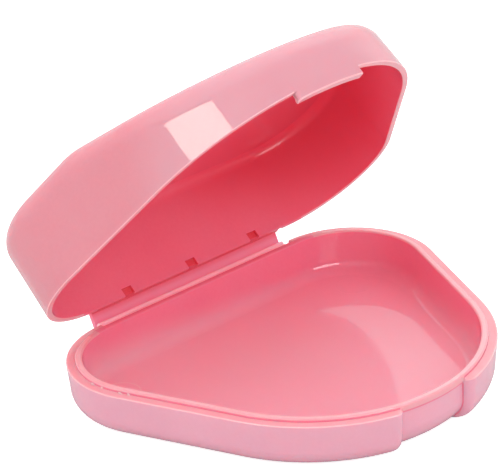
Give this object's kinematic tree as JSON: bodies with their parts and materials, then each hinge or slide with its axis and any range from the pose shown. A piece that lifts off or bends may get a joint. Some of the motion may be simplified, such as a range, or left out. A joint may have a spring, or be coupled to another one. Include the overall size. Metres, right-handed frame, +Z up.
{
  "type": "denture case",
  "caption": "Hinged pink plastic case with a shallow tray, a deep domed lid on a double folding strap hinge, and a snap tab latch.",
  "frame": {"origin": "middle of the tray's flat underside, halfway between the back wall and the front of the outline", "axes": "+Z up out of the tray, -Y towards the latch, +Y towards the hinge, +X to the right seen from the latch"},
  "size_m": [0.082, 0.0777, 0.0668],
  "materials": {
    "pink_tray": "smooth moulded polypropylene, slightly translucent, light gloss",
    "pink_strap": "smooth moulded polypropylene, thin and slightly translucent",
    "pink_lid": "smooth moulded polypropylene, slightly translucent, light gloss"
  },
  "bodies": {
    "tray": {"base_tray": "pink_tray"},
    "strap": {"hinge_strap": "pink_strap"},
    "lid": {"lid_shell": "pink_lid"}
  },
  "joints": [
    {"name": "tray_fold", "type": "hinge", "parent": "tray", "child": "strap", "pos_m": [0, 0.0355, 0.0074], "axis": [-1, 0, 0], "range_deg": [-25.8, 39.2]},
    {"name": "lid_fold", "type": "hinge", "parent": "strap", "child": "lid", "pos_m": [0, 0.03663, 0.00972], "axis": [-1, 0, 0], "range_deg": [-25.8, 39.2]}
  ],
  "couplings": [
    {"joint": "lid_fold", "follows": "tray_fold", "ratio": 1}
  ]
}
